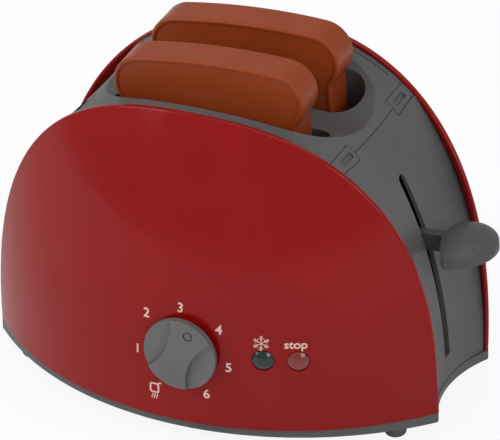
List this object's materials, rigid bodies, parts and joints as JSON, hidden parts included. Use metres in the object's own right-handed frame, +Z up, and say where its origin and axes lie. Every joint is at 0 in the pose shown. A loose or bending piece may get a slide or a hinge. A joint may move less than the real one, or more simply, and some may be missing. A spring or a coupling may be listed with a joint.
{
  "type": "toy toaster",
  "caption": "Toy two-slice toaster with bowed gloss sides, dished top, spring lever at one end, turning dial, push buttons and lift-out toast slices.",
  "frame": {"origin": "middle of the whole object's bounding rectangle seen from above, on the plane the four feet rest on", "axes": "+X runs along the length towards the end with the lever, +Y runs from the panel with the dial to the rear panel, +Z is up"},
  "size_m": [0.2038, 0.1458, 0.1464],
  "materials": {
    "red_gloss": "smooth gloss red",
    "grey_housing": "fine satin grey",
    "dark_base": "satin dark grey",
    "spring_steel": "bright drawn steel",
    "inner_plastic": "plain dark grey",
    "lever_grey": "satin grey",
    "knob_grey": "satin grey",
    "toast_brown": "satin toast brown",
    "button_red": "gloss red brown",
    "button_dark": "gloss green black"
  },
  "bodies": {
    "housing": {"front_panel": "red_gloss", "rear_panel": "red_gloss", "top_cover": "grey_housing", "right_end_cover": "grey_housing", "left_end_cover": "grey_housing", "base_tray": "dark_base", "foot_front_right": "dark_base", "foot_front_left": "dark_base", "foot_rear_right": "dark_base", "foot_rear_left": "dark_base", "base_screws": "spring_steel", "panel_screws": "spring_steel", "guide_frame": "inner_plastic", "frame_screws": "spring_steel", "guide_rod_front": "spring_steel", "guide_rod_rear": "spring_steel", "carriage_spring_front": "spring_steel", "carriage_spring_rear": "spring_steel", "button_bracket": "inner_plastic", "bracket_screws": "spring_steel", "defrost_button_spring": "spring_steel", "stop_button_spring": "spring_steel", "dial_bracket": "inner_plastic", "dial_screws": "spring_steel", "detent_spring": "spring_steel", "latch_pin": "spring_steel", "latch_spring": "spring_steel"},
    "carriage": {"toast_carriage": "inner_plastic", "lever_arm": "lever_grey", "lever_screws": "spring_steel", "lever_handle": "lever_grey"},
    "front_toast_slice": {"front_toast": "toast_brown"},
    "rear_toast_slice": {"rear_toast": "toast_brown"},
    "dial": {"dial_knob": "knob_grey", "dial_shaft": "inner_plastic", "detent_wheel": "inner_plastic"},
    "stop_button": {"stop_button": "button_red"},
    "defrost_button": {"defrost_button": "button_dark"},
    "latch": {"latch_rocker": "inner_plastic"}
  },
  "joints": [
    {"name": "carriage_slide", "type": "slide", "parent": "housing", "child": "carriage", "axis": [0.068, 0, -0.9977], "range_m": [-0.018, 0.046], "stiffness_N_per_m": 60, "springref_m": -0.029, "deforming": ["carriage_spring_front", "carriage_spring_rear"]},
    {"name": "front_toast_lift", "type": "slide", "parent": "carriage", "child": "front_toast_slice", "axis": [-0.068, 0, 0.9977], "range_m": [0, 0.09]},
    {"name": "rear_toast_lift", "type": "slide", "parent": "carriage", "child": "rear_toast_slice", "axis": [-0.068, 0, 0.9977], "range_m": [0, 0.09]},
    {"name": "dial_turn", "type": "hinge", "parent": "housing", "child": "dial", "pos_m": [-0.00193, -0.06773, 0.042], "axis": [0, 1, 0], "range_deg": [-172, 123], "deforming": ["detent_spring"]},
    {"name": "stop_press", "type": "slide", "parent": "housing", "child": "stop_button", "axis": [-0.4, 0.9165, 0], "range_m": [0, 0.002], "stiffness_N_per_m": 300, "springref_m": -0.001, "deforming": ["stop_button_spring"]},
    {"name": "defrost_press", "type": "slide", "parent": "housing", "child": "defrost_button", "axis": [-0.296, 0.9552, 0], "range_m": [0, 0.002], "stiffness_N_per_m": 300, "springref_m": -0.001, "deforming": ["defrost_button_spring"]},
    {"name": "latch_turn", "type": "hinge", "parent": "housing", "child": "latch", "pos_m": [0.04507, -0.03773, 0.036], "axis": [-1, 0, 0], "range_deg": [0, 18], "deforming": ["latch_spring"]}
  ],
  "couplings": [
    {"joint": "latch_turn", "follows": "stop_press", "rad_per_m": 152.7}
  ]
}
